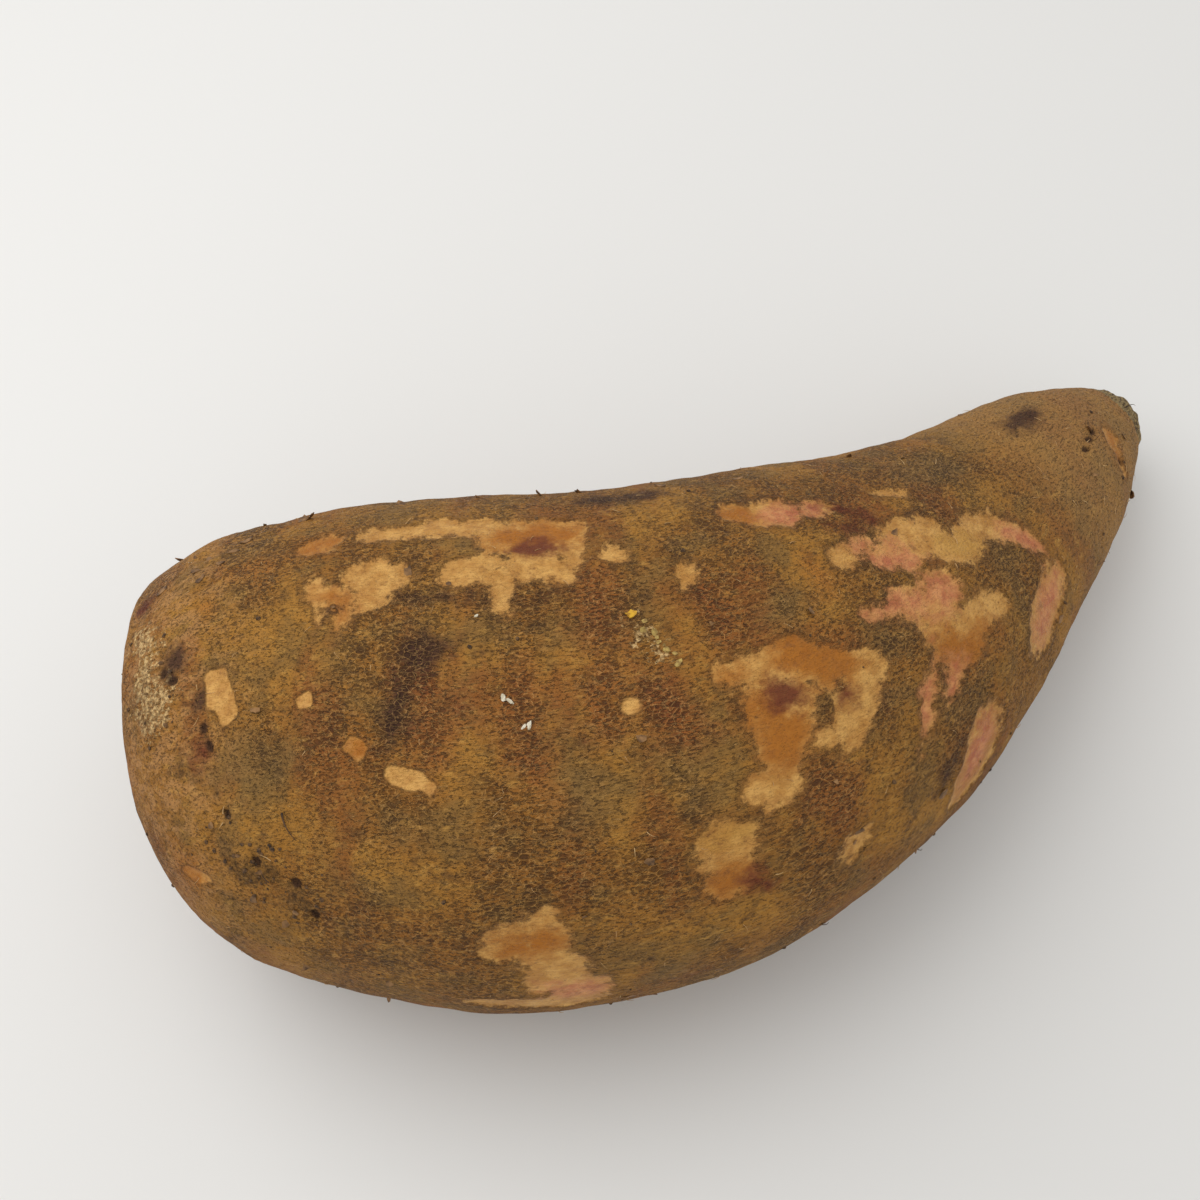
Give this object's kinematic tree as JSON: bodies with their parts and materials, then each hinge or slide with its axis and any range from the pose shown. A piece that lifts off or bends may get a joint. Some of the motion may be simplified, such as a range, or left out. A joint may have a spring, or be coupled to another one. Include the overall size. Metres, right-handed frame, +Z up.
{
  "type": "yacon root",
  "caption": "Plump storage root lying on its side, thickest near its middle, cut flat at one end and tapering to a thin broken stub at the other.",
  "frame": {"origin": "on the resting surface, under the middle of the root's bounding box", "axes": "+X along the root from the cut end to the thin end, +Z up, +Y to the side that the thin end bends towards"},
  "size_m": [0.1942, 0.0934, 0.0738],
  "materials": {
    "skin": "matte, rough earthy brown skin with peeled cream and orange patches"
  },
  "bodies": {
    "root": {"yacon_root": "skin"}
  },
  "joints": []
}
